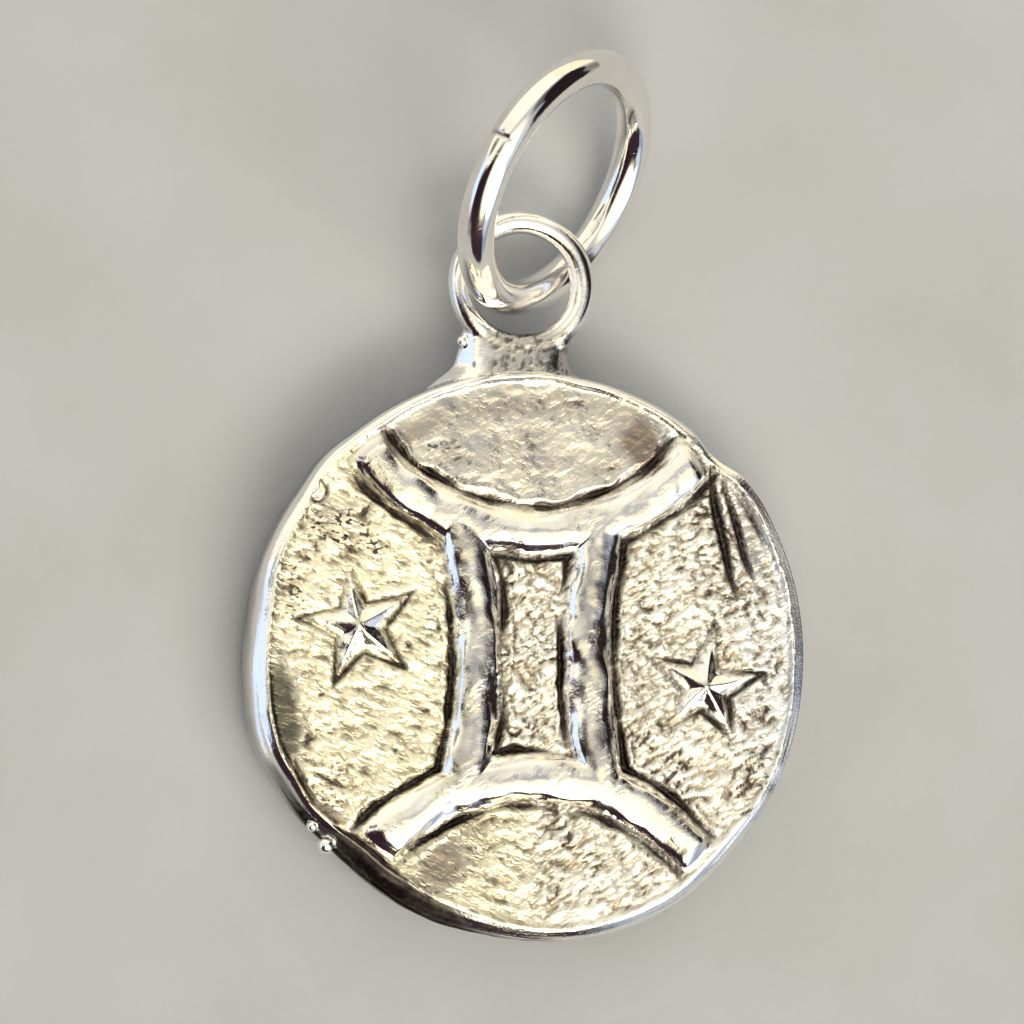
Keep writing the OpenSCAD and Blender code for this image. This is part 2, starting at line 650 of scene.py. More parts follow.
def write_attribute(mesh: bpy.types.Mesh, name: str, values: Array) -> None:
    """Keeps one number for each point of a mesh, for its material to read.

    Args:
        mesh: the mesh.
        name: the attribute's name.
        values: one number for each point.
    """
    attribute = mesh.attributes.new(name, "FLOAT", "POINT")
    attribute.data.foreach_set("value", np.asarray(values, np.float32))


def bake_modifiers(item: bpy.types.Object) -> None:
    """Gives an object the mesh that its modifiers make, and takes the modifiers off.

    Args:
        item: the object.
    """
    graph = bpy.context.evaluated_depsgraph_get()
    graph.update()
    made = bpy.data.meshes.new_from_object(item.evaluated_get(graph))
    item.modifiers.clear()
    item.data = made


# Finishes

class Board:
    """The node tree of one material, with short ways to add what the finishes need."""

    def __init__(self, name: str) -> None:
        """Starts an empty material.

        Args:
            name: the material's name.
        """
        self.material = bpy.data.materials.new(name)
        self.material.use_nodes = True
        self.tree = self.material.node_tree
        self.shader = self.tree.nodes["Principled BSDF"]
        self.place = self.add("ShaderNodeTexCoord").outputs["Object"]

    def add(self, kind: str, **settings: object) -> bpy.types.Node:
        """Adds a node.

        Args:
            kind: Blender's name for the node's type.
            **settings: properties of the node.

        Returns:
            The node.
        """
        node = self.tree.nodes.new(kind)
        for name, value in settings.items():
            setattr(node, name, value)
        return node

    def feed(self, socket: Socket, value: object) -> None:
        """Gives a socket a fixed value or the output of another node.

        Args:
            socket: the input.
            value: a number, a colour or an output socket.
        """
        if isinstance(value, Socket):
            self.tree.links.new(value, socket)
        elif isinstance(value, tuple) and len(value) == 3 and socket.type == "RGBA":
            socket.default_value = (*value, 1.0)
        else:
            socket.default_value = value

    def attribute(self, name: str) -> Socket:
        """One of the mesh's own numbers, by its name."""
        return self.add("ShaderNodeAttribute", attribute_name=name).outputs["Fac"]

    def stretched(self, turn: float, scale: tuple[float, float, float]) -> Socket:
        """Places turned about the upright and then stretched.

        Args:
            turn: the turn in degrees.
            scale: how much the pattern is packed along each turned axis.

        Returns:
            The mapped places.
        """
        node = self.add("ShaderNodeMapping", vector_type="TEXTURE")
        self.feed(node.inputs["Vector"], self.place)
        node.inputs["Rotation"].default_value = (0.0, 0.0, math.radians(turn))
        node.inputs["Scale"].default_value = tuple(1.0 / share for share in scale)
        return node.outputs["Vector"]

    def noise(self, size: float, detail: float = 3.0, where: Socket | None = None) -> Socket:
        """A noise whose hills are a given size across.

        Args:
            size: the size in millimetres.
            detail: how many finer layers it has.
            where: the places at which it is read, or nothing for the object's own.

        Returns:
            Values of 0 to 1.
        """
        node = self.add("ShaderNodeTexNoise", noise_dimensions="3D")
        self.feed(node.inputs["Vector"], self.place if where is None else where)
        node.inputs["Scale"].default_value = 1.0 / (size * MM)
        node.inputs["Detail"].default_value = detail
        return node.outputs["Fac"]

    def ramp(self, value: Socket, low: float, high: float, to_low: float, to_high: float) -> Socket:
        """A value mapped from one range to another and held inside it.

        Args:
            value: the value.
            low: start of its range.
            high: end of its range.
            to_low: result at the start.
            to_high: result at the end.

        Returns:
            The mapped value.
        """
        node = self.add("ShaderNodeMapRange", interpolation_type="SMOOTHSTEP")
        self.feed(node.inputs["Value"], value)
        for name, number in (("From Min", low), ("From Max", high), ("To Min", to_low), ("To Max", to_high)):
            node.inputs[name].default_value = number
        return node.outputs["Result"]

    def maths(self, kind: str, a: object, b: object) -> Socket:
        """A sum, product or the like of two values.

        Args:
            kind: Blender's name for the operation.
            a: first value.
            b: second value.

        Returns:
            The result.
        """
        node = self.add("ShaderNodeMath", operation=kind)
        self.feed(node.inputs[0], a)
        self.feed(node.inputs[1], b)
        return node.outputs["Value"]

    def blend(self, share: object, a: object, b: object) -> Socket:
        """A colour between two colours.

        Args:
            share: 0 for the first and 1 for the second.
            a: first colour.
            b: second colour.

        Returns:
            The blended colour.
        """
        node = self.add("ShaderNodeMix", data_type="RGBA")
        self.feed(node.inputs["Factor"], share)
        self.feed(node.inputs[6], a)
        self.feed(node.inputs[7], b)
        return node.outputs[2]

    def bump(self, height: Socket, depth: float, under: Socket | None = None) -> Socket:
        """Small relief for the light to catch.

        Args:
            height: values of 0 to 1.
            depth: height of the relief in millimetres.
            under: a bump that this one lies on.

        Returns:
            The bent normal.
        """
        node = self.add("ShaderNodeBump")
        node.inputs["Strength"].default_value = 1.0
        node.inputs["Distance"].default_value = depth * MM
        self.feed(node.inputs["Height"], height)
        if under is not None:
            self.feed(node.inputs["Normal"], under)
        return node.outputs["Normal"]

    def finish(self, **sockets: object) -> bpy.types.Material:
        """Feeds the shader.

        Args:
            **sockets: the shader's inputs, with an underscore for a space.

        Returns:
            The finished material.
        """
        for name, value in sockets.items():
            self.feed(self.shader.inputs[name.replace("_", " ")], value)
        return self.material


@dataclass(frozen=True)
class CastSilver:
    """Silver as cast and polished by hand: bright where the wheel reached, darkened in the hollows, with
    painted shade, warm light and reflections in its colour.
    """

    bright: Colour = (0.96, 0.94, 0.92)
    # The skin's cream is partly painted warm light, and the right field's greyer skin is painted shade
    skin: Colour = (1.00, 0.95, 0.76)
    right_skin_in_shade: Colour = (0.87, 0.85, 0.80)
    # Painted cool reflection of the lower right
    cool_painted_reflection: Colour = (0.81, 0.835, 0.875)
    # Tan of random mottling and of the painted shade in hollows and on the upper cap
    worn: Colour = (0.43, 0.37, 0.285)
    # Colours of the patches, partly stains and partly painted shade
    grey_stain_and_shade: Colour = (0.130, 0.126, 0.102)
    brown_stain_and_shade: Colour = (0.27, 0.212, 0.178)
    # Colour of the darkened grooves and pits and of the deepest painted shade
    dark: Colour = (0.043, 0.034, 0.031)
    # What the darkest places mirror at a glancing angle: painted shade on their reflections
    shaded_glance: Colour = (0.12, 0.10, 0.10)
    polished_rough: float = 0.10
    skin_rough: float = 0.40
    hollow_rough: float = 0.32

    def material(self) -> bpy.types.Material:
        """Makes the material, which reads the numbers that the disc's dress method keeps on the mesh.

        Returns:
            The material of the cast disc, neck and bail.
        """
        board = Board("cast_silver")
        recess = board.attribute("recess")
        polish = board.attribute("polish")
        broad = board.noise(1.6)
        fine = board.noise(0.13, 4.0)
        grit = board.bump(board.noise(0.06, 3.0), 0.004)
        # Torn lumps on the left, slanted strokes on the right, and the hollows between them
        on_right = board.attribute("strokes")
        torn = board.noise(0.28, 4.0, board.stretched(-24.0, (0.6, 1.3, 1.0)))
        strokes = board.noise(0.25, 4.0, board.stretched(36.0, (0.55, 1.4, 1.0)))
        both = board.add("ShaderNodeMix", data_type="FLOAT")
        board.feed(both.inputs["Factor"], on_right)
        board.feed(both.inputs["A"], torn)
        board.feed(both.inputs["B"], strokes)
        grain = both.outputs["Result"]
        low = board.maths("ADD", grain, board.maths("MULTIPLY", on_right, 0.015))
        low = board.maths("ADD", low, board.ramp(polish, 0.0, 0.8, 0.0, 0.25))
        # Painted shade of the finer hollows: tan, and dark in their cores
        hollows = board.ramp(low, 0.39, 0.48, 1.0, 0.0)
        cores = board.ramp(low, 0.32, 0.385, 0.62, 0.0)
        puffs = board.ramp(grain, 0.34, 0.62, 0.0, 1.0)
        rubbed = board.maths("MULTIPLY", puffs, board.ramp(polish, 0.0, 0.9, 1.0, 0.02))
        # Tan: the mesh's painted shade of hollows and of the upper cap, random mottling, and painted shade in
        # the finer hollows
        mottle = board.noise(0.34, 4.0, board.stretched(14.0, (0.6, 1.1, 1.0)))
        tan = board.maths("MULTIPLY", board.attribute("tan"), board.ramp(fine, 0.3, 0.7, 0.75, 1.2))
        tan = board.maths("ADD", tan, board.ramp(mottle, 0.52, 0.74, 0.0, 0.22))
        tan = board.maths("ADD", tan, board.ramp(broad, 0.50, 0.72, 0.0, 0.12))
        tan = board.maths("ADD", tan, board.maths("MULTIPLY", hollows, 0.58))
        # Darkening: grooves and pits, painted shade in the hollows' cores, and the painted shade that recess
        # carries on the caps, band tops, crest edge and side
        holes = board.noise(0.12, 1.0, board.stretched(-10.0, (0.7, 1.1, 1.0)))
        specks = board.maths("MULTIPLY", board.ramp(holes, 0.55, 0.61, 0.0, 0.95), board.attribute("pits"))
        specks = board.maths("MAXIMUM", specks, cores)
        specks = board.maths("MULTIPLY", specks, board.ramp(polish, 0.4, 0.9, 1.0, 0.0))
        dirt_and_painted_shade = board.maths("MULTIPLY", recess, board.ramp(fine, 0.25, 0.70, 0.95, 1.06))
        dirt_and_painted_shade = board.maths("MAXIMUM", dirt_and_painted_shade, specks)
        # Colour, from the clean skin to tan, polished, stained and shaded, and darkened in grooves and pits and
        # by painted shade
        # The left field's cream skin partly paints warm light, and the right field's greyer skin paints shade
        clean = board.blend(on_right, self.skin, self.right_skin_in_shade)
        # A painted cool reflection at the lower right
        clean = board.blend(board.attribute("cool"), clean, self.cool_painted_reflection)
        cast = board.blend(board.maths("MINIMUM", tan, 1.0), clean, self.worn)
        cast = board.blend(polish, cast, self.bright)
        # Patches of stain and painted shade, browner in the caps
        stain_and_shade = board.blend(board.attribute("brown"), self.grey_stain_and_shade, self.brown_stain_and_shade)
        stained_and_shaded = board.blend(board.attribute("stain_and_shade"), cast, stain_and_shade)
        colour = board.blend(board.maths("MINIMUM", dirt_and_painted_shade, 1.0), stained_and_shaded, self.dark)
        # Roughness, relief and the painted shade that dims what the darkest places mirror
        rough = board.ramp(polish, 0.0, 1.0, self.skin_rough, self.polished_rough)
        rough = board.maths("ADD", rough, board.ramp(fine, 0.3, 0.7, -0.03, 0.05))
        rough = board.maths("MAXIMUM", rough, board.ramp(recess, 0.0, 1.0, 0.0, self.hollow_rough))
        scratches = board.noise(0.05, 1.0, board.stretched(-31.0, (0.05, 1.6, 1.0)))
        normal = board.bump(rubbed, 0.036, grit)
        normal = board.bump(board.ramp(scratches, 0.62, 0.8, 0.0, 1.0), 0.0010, normal)
        glance = board.blend(board.ramp(dirt_and_painted_shade, 0.65, 1.0, 0.0, 1.0), (1.0, 1.0, 1.0), self.shaded_glance)
        return board.finish(
            Base_Color=colour,
            Roughness=rough,
            Metallic=1.0,
            Specular_Tint=glance,
            Normal=normal,
        )


@dataclass(frozen=True)
class WireSilver:
    """Drawn silver wire, mirror polished, with faint draw lines and handling marks."""

    bright: Colour = (0.94, 0.92, 0.89)
    warm: Colour = (0.86, 0.82, 0.77)
    cut: Colour = (0.30, 0.26, 0.23)
    mirror: float = 0.055
    handled: float = 0.15

    def material(self) -> bpy.types.Material:
        """Makes the material, which reads the mesh's recess.

        Returns:
            The material of the jump ring.
        """
        board = Board("wire_silver")
        recess = board.attribute("recess")
        broad = board.noise(1.3)
        smudge = board.ramp(broad, 0.45, 0.75, 0.0, 1.0)
        colour = board.blend(recess, board.blend(smudge, self.bright, self.warm), self.cut)
        rough = board.ramp(smudge, 0.0, 1.0, self.mirror, self.handled)
        rough = board.maths("ADD", rough, board.ramp(recess, 0.0, 1.0, 0.0, 0.3))
        waves = board.bump(board.noise(0.7, 1.0), 0.006)
        nicks = board.noise(0.06, 1.0, board.stretched(20.0, (0.12, 1.5, 1.0)))
        normal = board.bump(board.ramp(nicks, 0.64, 0.8, 0.0, 1.0), 0.0010, waves)
        return board.finish(Base_Color=colour, Roughness=rough, Metallic=1.0, Normal=normal)


@dataclass(frozen=True)
class PaleFloor:
    """Plain pale surface with a soft, faintly mottled skin."""

    pale: Colour = (0.425, 0.445, 0.500)
    shade: Colour = (0.400, 0.415, 0.460)

    def material(self) -> bpy.types.Material:
        """Makes the material.

        Returns:
            The material of the floor.
        """
        board = Board("pale_floor")
        colour = board.blend(board.ramp(board.noise(6.0, 4.0), 0.3, 0.7, 0.0, 1.0), self.pale, self.shade)
        normal = board.bump(board.noise(0.35, 4.0), 0.03)
        return board.finish(Base_Color=colour, Roughness=0.85, Normal=normal)


# Pieces of the charm

@dataclass(frozen=True)
class FaceSpots:
    """What lies at each of many places of the disc's face."""

    x: Array
    y: Array
    # Distance in from the rim's crest, height of that crest and share of the relief that is left beside it
    inside: Array
    crest: Array
    ends: Array
    # Height of the raised metal and of the burrs, depth of grooves and folds
    lift: Array
    burr: Array
    deep: Array
    # Share of raised metal and of its flat tops
    high: Array
    top: Array
    # Share of the bare fields above the upper bar and below the lower one
    cap: Array
    foot: Array
    # Darkness of the patches of stain and painted shade
    stained_and_shaded: Array
    # Distance from the pimple's middle, in its radii
    from_pimple: Array


@dataclass
class CastDisc:
    """The cast disc with its relief, the solder neck and the bail ring, as one body of metal."""

    thickness: float = 2.2
    field_drop: float = 0.15
    outline: Outline = Outline()
    relief: Relief = Relief()
    # The rim round the disc: angle, width of its bevel, how much lower its crest lies, the bevel's slope
    rim: tuple[tuple[float, float, float, float], ...] = (
        (0, 0.32, 0.00, 0.25),
        (12, 0.30, 0.00, 0.17),
        (32, 0.28, 0.00, 0.17),
        (47, 0.24, 0.07, 0.60),
        (66, 0.18, 0.00, 0.88),
        (90, 0.14, 0.00, 0.88),
        (112, 0.20, 0.00, 0.88),
        (135, 0.28, 0.00, 1.00),
        (155, 0.40, 0.03, 1.05),
        (178, 0.48, 0.05, 1.05),
        (200, 0.48, 0.05, 1.05),
        (214, 0.36, 0.05, 0.95),
        (232, 0.54, 0.10, 0.75),
        (250, 0.54, 0.10, 0.72),
        (268, 0.34, 0.04, 0.72),
        (290, 0.36, 0.04, 0.88),
        (310, 0.44, 0.05, 0.85),
        (328, 0.34, 0.02, 0.60),
        (342, 0.30, 0.00, 0.30),
    )
    # The disc's side from the flat back up to the bevel: distance in from the outline, share of its height
    side: tuple[tuple[float, float], ...] = (
        (0.60, 0.0),
        (0.24, 0.05),
        (0.06, 0.22),
        (0.0, 0.50),
        (0.015, 0.80),
        (0.05, 1.0),
    )
    # Burnished patches of the face, darkened partly as stains and partly as painted shade: x, y, half width,
    # half height, turn, darkness
    stains_and_shades: tuple[tuple[float, float, float, float, float, float], ...] = (
        (-6.80, -1.60, 0.56, 1.65, 9, 1.00),
        (-5.50, -4.45, 0.40, 0.90, 52, 0.90),
        (-3.60, 5.75, 1.50, 0.34, 30, 0.60),
        (-0.60, 6.65, 1.10, 0.26, 5, 0.45),
        (3.05, 5.70, 0.60, 0.92, 20, 0.95),
        (6.00, 3.10, 0.36, 1.20, 15, 0.55),
        (-5.55, 3.75, 0.55, 0.26, 10, 0.60),
        (-2.50, -5.60, 0.70, 0.90, -30, 0.72),
    )
    # Clusters of casting pits: x, y, half width, half height, turn, share
    pits: tuple[tuple[float, float, float, float, float, float], ...] = (
        (-5.20, 3.30, 1.50, 0.60, -15, 1.00),
        (-6.50, 1.75, 0.42, 1.40, 12, 0.95),
        (-5.70, -3.60, 0.90, 0.90, 30, 0.85),
        (-2.80, 1.00, 0.40, 0.70, 0, 0.60),
        (-2.40, 5.60, 0.90, 0.22, -8, 0.90),
        (1.20, 6.20, 0.90, 0.30, -12, 0.60),
        (-0.60, -5.20, 1.40, 0.30, 8, 0.60),
        (-3.20, -6.20, 0.80, 0.34, -30, 0.70),
        (5.60, 1.60, 0.70, 0.50, 20, 0.70),
        (6.40, -2.90, 0.34, 0.90, 10, 0.80),
        (2.90, 0.60, 0.36, 0.80, 0, 0.60),
        (0.10, 0.60, 0.40, 0.90, 10, 0.70),
    )
    # Folds and file cuts of the face
    folds: tuple[Cut, ...] = (
        Cut((4.95, 5.35), (5.75, 1.60), 0.34, 0.22, -0.10),
        Cut((5.30, 5.05), (6.25, 2.00), 0.26, 0.16, -0.08),
        Cut((5.70, 4.60), (6.55, 2.90), 0.18, 0.12),
        Cut((-6.55, -2.75), (-5.90, -4.10), 0.22, 0.15),
        Cut((-5.60, -4.60), (-3.30, -6.20), 0.30, 0.20, 0.10),
        Cut((-6.00, -3.10), (-5.10, -3.60), 0.16, 0.12),
        Cut((6.70, -2.30), (6.35, -2.75), 0.16, 0.14),
        Cut((6.20, -4.10), (5.70, -4.30), 0.14, 0.12),
    )
    # Pimple beside the rim: x, y, radius, and its height and the depth of the moat round it
    pimple: tuple[float, float, float] = (-5.90, 4.33, 0.27)
    pimple_height: float = 0.15
    moat_depth: float = 0.08
    # Unevenness of the face, from the slow waves to the hammered skin
    wave: float = 0.060
    ripple: float = 0.032
    hammered: float = 0.011
    # Height from which a place is part of the face, and height up to which it can have stains and painted shade
    face_from: float = 1.5
    stain_and_shade_to: float = 2.25
    # How wide the field's border is, where it runs up to the rim's crest
    border: float = 0.17
    # Points round the disc's mesh, and its rings: those of the back by share of the radius and points
    around: int = 768
    back_rings: tuple[tuple[float, int], ...] = ((0.12, 48), (0.3, 96), (0.55, 192), (0.8, 384))
    face_rings: int = 130
    wall_rings: int = 7
    shoulder_rings: int = 9
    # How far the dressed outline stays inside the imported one, the back's mean height over the floor and
    # the depth of the side's pits
    shrink: float = 0.015
    back_z: float = 0.012
    side_rough: float = 0.045
    # Bail ring: radius of its middle line, radius of its wire, place of its middle
    bail_r: float = 1.7
    bail_wire_r: float = 0.33
    bail_middle: tuple[float, float, float] = (-0.24, 10.1, 1.7)
    # Sections of the neck: y, half width, half thickness, height and x of the middle, width of the flanks
    neck: tuple[tuple[float, float, float, float, float, float], ...] = (
        (6.60, 2.70, 0.60, 1.05, -0.36, 0.70),
        (7.10, 2.55, 0.72, 1.18, -0.36, 0.80),
        (7.45, 2.15, 0.80, 1.26, -0.40, 0.86),
        (7.80, 1.70, 0.66, 1.38, -0.42, 0.62),
        (8.20, 1.56, 0.54, 1.48, -0.42, 0.46),
        (8.65, 1.52, 0.44, 1.58, -0.38, 0.42),
        (9.10, 1.44, 0.34, 1.68, -0.26, 0.36),
    )
    # Lumps of solder: x, y, z, half widths
    lumps: tuple[tuple[float, float, float, float, float, float], ...] = (
        (-1.86, 8.50, 1.62, 0.17, 0.17, 0.17),
        (0.80, 8.52, 1.66, 0.34, 0.30, 0.32),
        (0.52, 8.38, 1.84, 0.24, 0.18, 0.14),
        (-0.80, 8.34, 1.88, 0.24, 0.13, 0.12),
        (0.10, 8.22, 1.88, 0.18, 0.12, 0.11),
        (-0.30, 7.98, 1.86, 0.16, 0.18, 0.11),
    )
    # Cast beads on the rim: x, y, z, half widths
    beads: tuple[tuple[float, float, float, float, float, float], ...] = (
        (-5.96, -4.60, 1.84, 0.17, 0.17, 0.17),
        (-5.58, -5.12, 1.82, 0.25, 0.25, 0.25),
        (-7.36, -1.30, 1.86, 0.09, 0.13, 0.09),
    )
    # Size of the grid on which the bail, the neck and the lumps are fused
    voxel: float = 0.055

    @property
    def field_z(self) -> float:
        """Height of the sunk field over the back."""
        return self.thickness - self.field_drop

    def rim_at(self, angle: Array) -> tuple[Array, Array, Array]:
        """The rim in one direction.

        Args:
            angle: angle from +X, in degrees.

        Returns:
            Width of the bevel, height of the crest over the back and the bevel's slope.
        """
        a = np.mod(angle, 360.0)
        rows = [(row[0] + turn, *row[1:]) for turn in (-360, 0, 360) for row in self.rim]
        width, drop, slope = (curve_through(a, [(row[0], row[k]) for row in rows]) for k in (1, 2, 3))
        width = width + 0.03 * Noise(Seed.RIM_WIDTH).at(a / 7.0, 0.0 * a + 0.5)
        drop = drop + 0.012 * Noise(Seed.RIM_DROP).at(a / 5.0, 0.0 * a + 0.5)
        return width, self.thickness - np.clip(drop, 0.005, None), slope

    def polar(self, x: Array, y: Array) -> tuple[Array, Array, Array]:
        """Where a place lies from the rim.

        Args:
            x: place across the disc.
            y: place along the disc.

        Returns:
            Distance in from the outline, distance in from the rim's crest and height of that crest.
        """
        angle = np.degrees(np.arctan2(y, x))
        width, crest, _ = self.rim_at(angle)
        inwards = self.outline.at(angle) - self.shrink - np.hypot(x, y)
        return inwards, inwards - width, crest

    def zones(self, x: Array, y: Array) -> dict[Grain, Array]:
        """How much of each cast texture a place has.

        Args:
            x: place across the disc.
            y: place along the disc.

        Returns:
            A share for each texture.
        """
        upper = self.relief.beyond_bar(x, y, 1)
        lower = self.relief.beyond_bar(x, y, -1)
        right = smooth(self.relief.past_pillar(x, y, 1) / 0.4)
        left = smooth(self.relief.past_pillar(x, y, -1) / 0.4)
        waist = (1 - upper) * (1 - lower)
        east = smooth((x + 1.0) / 2.0)
        high = smooth(y + 1.4 + 1.2 * Noise(Seed.TEXTURE_BORDER).at(x / 1.4, y / 1.4))
        return {
            Grain.STREAKS: upper,
            Grain.WORMS: waist * left + lower * (1 - east),
            Grain.STROKES: waist * right * (1 - high) + lower * east,
            Grain.BLOBS: waist * ((1 - left) * (1 - right) + right * high),
        }

    def face(self, x: Array, y: Array) -> tuple[Array, Array, Array, Array]:
        """Height and finish of the disc's front.

        Args:
            x: place across the disc.
            y: place along the disc.

        Returns:
            Height over the back, then darkening, tan and polish, each 0 to 1.
        """
        at = self._spots(x, y)
        grain, tanned, dark = self._cast_grain(at)
        return self._height(at, grain), self._darkening(at, dark), tanned, self._polish(at)

    def _spots(self, x: Array, y: Array) -> FaceSpots:
        """Finds out what lies at each place.

        Args:
            x: place across the disc.
            y: place along the disc.

        Returns:
            The relief, grooves, fields and patches there.
        """
        _, inside, crest = self.polar(x, y)
        inside = inside + 0.03 * Noise(Seed.CREST_WOBBLE).at(x / 1.1, y / 1.1)
        wx = x + 0.08 * Noise(Seed.DRIFT_X).at(x / 1.3, y / 1.3)
        wy = y + 0.08 * Noise(Seed.DRIFT_Y).at(x / 1.3, y / 1.3)
        lift, groove, burr = self.relief.lift_and_cut(wx, wy)
        ends = smooth((inside - 0.04) / 0.60)
        lift = lift * (1.0 + 0.10 * Noise(Seed.RELIEF_HEIGHT).at(x / 1.8, y / 1.8)) * ends
        uneven = 0.65 + 0.75 * Noise(Seed.GROOVE_DEPTH).at(x / 1.5, y / 1.5)
        groove = np.clip(groove * smooth((inside - 0.05) / 0.3) * uneven, 0.0, None)
        folded = np.max([fold.depth_at(wx, wy) for fold in self.folds], axis=0)
        folded = folded * (1.0 - smooth(lift / 0.1))
        high = smooth(lift / 0.14)
        px, py, pr = self.pimple
        return FaceSpots(
            x=x,
            y=y,
            inside=inside,
            crest=crest,
            ends=ends,
            lift=lift,
            burr=burr,
            deep=np.maximum(groove, folded),
            high=high,
            top=smooth((lift / self.relief.height - 0.72) / 0.14),
            cap=self.relief.beyond_bar(x, y, 1) * (1.0 - high),
            foot=self.relief.beyond_bar(x, y, -1) * (1.0 - high),
            stained_and_shaded=self.stain_and_shade_at(x, y, inside) * (1.0 - high),
            from_pimple=np.hypot(x - px, y - py) / pr,
        )

    def _cast_grain(self, at: FaceSpots) -> tuple[Array, Array, Array]:
        """The cast texture of the sunk fields.

        Args:
            at: what lies at each place.

        Returns:
            Height of the lumps in millimetres, and how tanned and how dark a place is with painted shade, each
            0 to 1.
        """
        open_field = smooth((at.inside - 0.10) / 0.30)
        bare = np.maximum(1.0 - at.high, 0.08 * at.top) * (1.0 - 0.65 * smooth(at.stained_and_shaded / 0.6))
        skin = open_field * bare * (1.0 - 0.8 * smooth(at.deep / 0.08)) * smooth((at.from_pimple - 1.2) / 0.5)
        grain, tanned, dark = np.zeros_like(at.x), np.zeros_like(at.x), np.zeros_like(at.x)
        for kind, share in self.zones(at.x, at.y).items():
            parts = kind.marks(at.x, at.y)
            grain, tanned, dark = (a + share * b for a, b in zip((grain, tanned, dark), parts))
        # The hollows' painted shade, and painted shade over the upper cap
        tanned = np.maximum(tanned * skin * (1.0 - 0.5 * at.top), 0.30 * at.cap * open_field)
        return grain * skin, tanned, dark * skin * (1.0 - 0.6 * at.top)

    def _height(self, at: FaceSpots, grain: Array) -> Array:
        """Height of the face over the back.

        Args:
            at: what lies at each place.
            grain: height of the cast texture.

        Returns:
            Height in millimetres.
        """
        x, y = at.x, at.y
        waves = self.wave * Noise(Seed.FIELD_WAVES).at(x / 2.6 + 0.3, y / 2.6)
        waves = waves + self.ripple * Noise(Seed.FIELD_RIPPLE).at(x / 1.1, y / 1.1)
        hammered = self.hammered * Noise(Seed.HAMMERED).layered(x / 0.55, y / 0.55, 2) * at.ends
        knob = self.pimple_height * hill(at.from_pimple / 0.9)
        knob = knob - self.moat_depth * hill((at.from_pimple - 1.05) / 0.30)
        metal = self.field_z + waves + at.lift + at.burr * at.ends + grain
        risen = metal + (at.crest - metal) * (1.0 - smooth(at.inside / self.border))
        return risen - at.deep + knob + hammered

    def _darkening(self, at: FaceSpots, dark: Array) -> Array:
        """How dark the face is.

        Args:
            at: what lies at each place.
            dark: painted shade in the cast texture's deepest hollows.

        Returns:
            0 on bright metal and up to 1 in the deepest grooves.
        """
        x, y = at.x, at.y
        # Painted shade over the caps above and below the bars and over the lower left of the field
        low_left = smooth(-0.8 - 0.5 * x) * smooth(-0.6 * y) * (1.0 - at.high)
        caps_and_low_left_shade = 0.25 * at.cap + 0.25 * at.foot * smooth(0.6 - 0.35 * x) + 0.08 * low_left
        # Painted shade on the band tops, stronger on the pillars than on the bars
        upright = smooth(-np.maximum(self.relief.past_bar(x, y, 1), self.relief.past_bar(x, y, -1)) / 0.7)
        band_top_shade = (0.14 + 0.22 * upright) * at.top
        shaded = smooth(0.3 + 1.4 * Noise(Seed.CREST_SHADE).at(x / 1.2, y / 1.2))
        # The grain's deep hollows get painted shade, and the grooves, folds and the pimple's moat are darkened
        marks = [
            dark,
            smooth(at.deep / 0.09),
            hill((at.from_pimple - 1.05) / 0.3),
            caps_and_low_left_shade * (1.0 + 0.7 * Noise(Seed.FIELD_SHADE).layered(x / 1.4, y / 0.9, 2)),
            band_top_shade * (1.0 + 0.8 * Noise(Seed.BAND_TOP_SHADE).layered(x / 0.9, y / 1.3, 2)),
            # Painted shade just inside the rim's crest
            0.45 * shaded * hill((at.inside - 0.18) / 0.13) * (1.0 - at.high),
        ]
        return np.clip(np.maximum.reduce(marks), 0.0, 1.0)

    def _polish(self, at: FaceSpots) -> Array:
        """How polished the face is.

        Args:
            at: what lies at each place.

        Returns:
            0 on the cast skin and 1 where the wheel reached.
        """
        x, y = at.x, at.y
        worn = at.top * smooth(0.55 + 1.2 * Noise(Seed.WORN_TOPS).at(x / 0.9, y / 0.9)) * 0.5
        shares = [
            at.high * (1.0 - worn),
            1.0 - smooth((at.inside + 0.02) / 0.06),
            0.45 * smooth(at.stained_and_shaded / 0.6),
            1.0 - smooth((at.from_pimple - 0.7) / 0.2),
            at.cap * (0.50 + 0.22 * Noise(Seed.CAP_POLISH).layered(x / 1.1, y / 0.8, 2)),
        ]
        return np.clip(np.maximum.reduce(shares), 0.0, 1.0)

    def stain_and_shade_at(self, x: Array, y: Array, inside: Array) -> Array:
        """Darkness of the burnished patches, partly stains and partly painted shade.

        Args:
            x: place across the disc.
            y: place along the disc.
            inside: distance in from the rim's crest.

        Returns:
            0 on clean metal, and up to 1 in a patch's middle.
        """
        return self.patches(x, y, self.stains_and_shades, 0.16) * smooth(inside / 0.12)

    def patches(self, x: Array, y: Array, rows: Sequence[tuple[float, ...]], ragged: float) -> Array:
        """Strength of ragged oval patches.

        Args:
            x: place across the disc.
            y: place along the disc.
            rows: x, y, half width, half height, turn and strength of each patch.
            ragged: how uneven the patches' edges are.

        Returns:
            0 off the patches, and up to 1 in a patch's middle.
        """
        dark = np.zeros_like(x)
        uneven = ragged * Noise(Seed.PATCH_EDGES).layered(x / 0.5, y / 0.5, 3)
        for sx, sy, half_w, half_h, turn, strength in rows:
            a = math.radians(turn)
            u = ((x - sx) * math.cos(a) + (y - sy) * math.sin(a)) / half_w
            v = ((y - sy) * math.cos(a) - (x - sx) * math.sin(a)) / half_h
            dark = np.maximum(dark, strength * smooth((1.3 - np.hypot(u, v) + uneven) / 0.8))
        return dark

